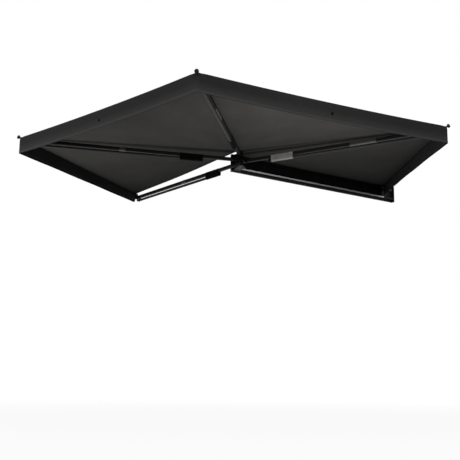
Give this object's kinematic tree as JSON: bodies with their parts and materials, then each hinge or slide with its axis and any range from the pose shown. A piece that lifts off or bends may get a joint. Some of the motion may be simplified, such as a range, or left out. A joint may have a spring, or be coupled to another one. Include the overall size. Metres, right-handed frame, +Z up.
{
  "type": "vehicle side awning",
  "caption": "Fold-out vehicle side awning: arms swing from a hub on a beam and spread a canopy with a valance over folding support poles.",
  "frame": {"origin": "middle of the underside of the rear mounting bracket, where it rests on a roof bar", "axes": "+X along the beam towards the front of the vehicle, +Y towards the vehicle, +Z up"},
  "size_m": [4.0096, 3.6432, 0.2034],
  "materials": {
    "black_anodised": "black anodised extrusion, satin",
    "black_steel": "black powder coat, fine satin",
    "zinc_steel": "zinc plated",
    "bright_aluminium": "natural anodised, satin",
    "black_plastic": "moulded nylon, matt",
    "black_rubber": "soft rubber, matt",
    "canopy_cloth": "charcoal polyester canvas, fine plain weave",
    "grey_tape": "grey loop fabric",
    "black_tape": "black loop fabric",
    "cover_cloth": "black coated polyester"
  },
  "bodies": {
    "base": {"beam": "black_anodised", "beam_rail_strip": "bright_aluminium", "beam_end_plate_rear": "black_plastic", "beam_end_plate_front": "black_plastic", "hub_bracket": "black_steel", "hub_bolt_1": "zinc_steel", "hub_bolt_2": "zinc_steel", "pivot_pin_1": "zinc_steel", "pivot_pin_2": "zinc_steel", "pivot_pin_3": "zinc_steel", "pivot_pin_4": "zinc_steel", "mount_bracket_1": "black_steel", "mount_bracket_2": "black_steel", "bracket_bolt_1_upper": "zinc_steel", "bracket_bolt_1_lower": "zinc_steel", "bracket_bolt_2_upper": "zinc_steel", "bracket_bolt_2_lower": "zinc_steel", "travel_cover": "cover_cloth", "canopy_panel_1": "canopy_cloth"},
    "arm_1": {"arm_knuckle_1": "black_steel", "arm_tube_1": "black_anodised", "arm_tip_1": "black_plastic", "pole_bracket_1": "black_steel", "pole_wrap_1": "grey_tape"},
    "pole_1": {"pole_outer_1": "black_anodised", "pole_collar_1": "black_plastic"},
    "pole_end_1": {"pole_inner_1": "bright_aluminium", "pole_foot_1": "black_rubber"},
    "arm_2": {"arm_knuckle_2": "black_steel", "arm_tube_2": "black_anodised", "arm_tip_2": "black_plastic", "pole_bracket_2": "black_steel", "pole_wrap_2": "black_tape", "canopy_panel_2": "canopy_cloth"},
    "pole_2": {"pole_outer_2": "black_anodised", "pole_collar_2": "black_plastic"},
    "pole_end_2": {"pole_inner_2": "bright_aluminium", "pole_foot_2": "black_rubber"},
    "arm_3": {"arm_knuckle_3": "black_steel", "arm_tube_3": "black_anodised", "arm_tip_3": "black_plastic", "pole_bracket_3": "black_steel", "pole_wrap_3": "black_tape", "canopy_panel_3": "canopy_cloth"},
    "pole_3": {"pole_outer_3": "black_anodised", "pole_collar_3": "black_plastic"},
    "pole_end_3": {"pole_inner_3": "bright_aluminium", "pole_foot_3": "black_rubber"},
    "arm_4": {"arm_knuckle_4": "black_steel", "arm_tube_4": "black_anodised", "arm_tip_4": "black_plastic", "pole_bracket_4": "black_steel", "pole_wrap_4": "black_tape", "canopy_panel_4": "canopy_cloth"},
    "pole_4": {"pole_outer_4": "black_anodised", "pole_collar_4": "black_plastic"},
    "pole_end_4": {"pole_inner_4": "bright_aluminium", "pole_foot_4": "black_rubber"}
  },
  "joints": [
    {"name": "fold_4", "type": "hinge", "parent": "base", "child": "arm_4", "pos_m": [-0.36, -0.2423, 0.008], "axis": [0, 0, 1], "range_deg": [0, 270], "deforming": ["canopy_panel_1", "canopy_panel_2", "canopy_panel_3", "canopy_panel_4"]},
    {"name": "fold_3", "type": "hinge", "parent": "base", "child": "arm_3", "pos_m": [-0.3, -0.1973, 0.056], "axis": [0, 0, 1], "range_deg": [0, 205]},
    {"name": "fold_2", "type": "hinge", "parent": "base", "child": "arm_2", "pos_m": [-0.3, -0.1523, 0.104], "axis": [0, 0, 1], "range_deg": [0, 135]},
    {"name": "fold_1", "type": "hinge", "parent": "base", "child": "arm_1", "pos_m": [-0.3, -0.1073, 0.056], "axis": [0, 0, 1], "range_deg": [0, 62]},
    {"name": "pole_swing_1", "type": "hinge", "parent": "arm_1", "child": "pole_1", "pos_m": [0.5838, -1.76948, 0.0804], "axis": [-0.8829, -0.4695, 0], "range_deg": [0, 105], "deforming": ["pole_wrap_1"]},
    {"name": "pole_slide_1", "type": "slide", "parent": "pole_1", "child": "pole_end_1", "axis": [-0.4693, 0.8825, -0.0302], "range_m": [0, 0.6]},
    {"name": "pole_swing_2", "type": "hinge", "parent": "arm_2", "child": "pole_2", "pos_m": [-1.67996, -1.53226, 0.08162], "axis": [-0.7071, 0.7071, 0], "range_deg": [0, 105], "deforming": ["pole_wrap_2"]},
    {"name": "pole_slide_2", "type": "slide", "parent": "pole_2", "child": "pole_end_2", "axis": [0.7071, 0.7071, -0.0036], "range_m": [0, 0.6]},
    {"name": "pole_swing_3", "type": "hinge", "parent": "arm_3", "child": "pole_3", "pos_m": [-2.07684, 0.63126, 0.08047], "axis": [0.4226, 0.9063, 0], "range_deg": [0, 105], "deforming": ["pole_wrap_3"]},
    {"name": "pole_slide_3", "type": "slide", "parent": "pole_3", "child": "pole_end_3", "axis": [0.9059, -0.4224, -0.0288], "range_m": [0, 0.6]},
    {"name": "pole_swing_4", "type": "hinge", "parent": "arm_4", "child": "pole_4", "pos_m": [-0.36, 1.68336, -0.00365], "axis": [1, 0, 0], "range_deg": [0, 105], "deforming": ["pole_wrap_4"]},
    {"name": "pole_slide_4", "type": "slide", "parent": "pole_4", "child": "pole_end_4", "axis": [0, -0.9999, -0.0145], "range_m": [0, 0.6]}
  ],
  "couplings": [
    {"joint": "fold_3", "follows": "fold_4", "ratio": 0.75926},
    {"joint": "fold_2", "follows": "fold_4", "ratio": 0.5},
    {"joint": "fold_1", "follows": "fold_4", "ratio": 0.22963},
    {"joint": "pole_slide_1", "follows": "pole_swing_1", "m_per_rad": 0.3274},
    {"joint": "pole_slide_2", "follows": "pole_swing_2", "m_per_rad": 0.3274},
    {"joint": "pole_slide_3", "follows": "pole_swing_3", "m_per_rad": 0.3274},
    {"joint": "pole_slide_4", "follows": "pole_swing_4", "m_per_rad": 0.3274}
  ]
}
